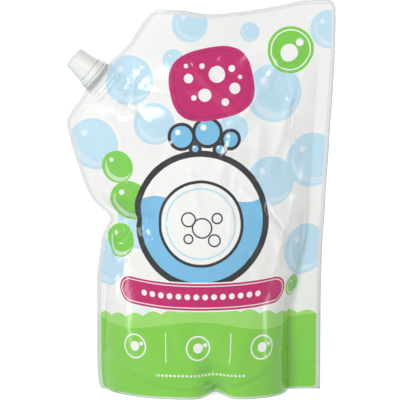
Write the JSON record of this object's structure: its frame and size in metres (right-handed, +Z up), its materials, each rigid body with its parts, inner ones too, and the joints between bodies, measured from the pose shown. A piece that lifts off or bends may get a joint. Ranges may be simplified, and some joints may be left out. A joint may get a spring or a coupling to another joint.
{
  "type": "dish soap refill pouch",
  "caption": "Stand-up film refill pouch for dish soap, with a round bottom gusset, heat-sealed edges and a slanted corner spout closed by a tapered screw cap.",
  "frame": {"origin": "middle of the outer box at the height of the floor the pouch stands on", "axes": "+Z up; -Y is the way the printed front faces; the spout is on the -X side"},
  "size_m": [0.1964, 0.0769, 0.2898],
  "materials": {
    "printed_film": "glossy laminated film with printed colour fields",
    "spout_plastic": "smooth moulded",
    "band_plastic": "smooth moulded",
    "cap_plastic": "satin moulded",
    "liner_foam": "soft foamed liner"
  },
  "bodies": {
    "pack": {"pouch": "printed_film", "spout": "spout_plastic", "tamper_band": "band_plastic"},
    "liner": {"sealing_disc": "liner_foam"},
    "screw_cap": {"cap": "cap_plastic"}
  },
  "joints": [
    {"name": "cap_rise", "type": "slide", "parent": "pack", "child": "liner", "axis": [-0.7598, 0, 0.6501], "range_m": [0, 0.0175]},
    {"name": "cap_turn", "type": "hinge", "parent": "liner", "child": "screw_cap", "pos_m": [-0.0757, 0, 0.2334], "axis": [-0.7598, 0, 0.6501], "range_deg": [0, 1260]}
  ],
  "couplings": [
    {"joint": "cap_turn", "follows": "cap_rise", "rad_per_m": 1256.6}
  ]
}
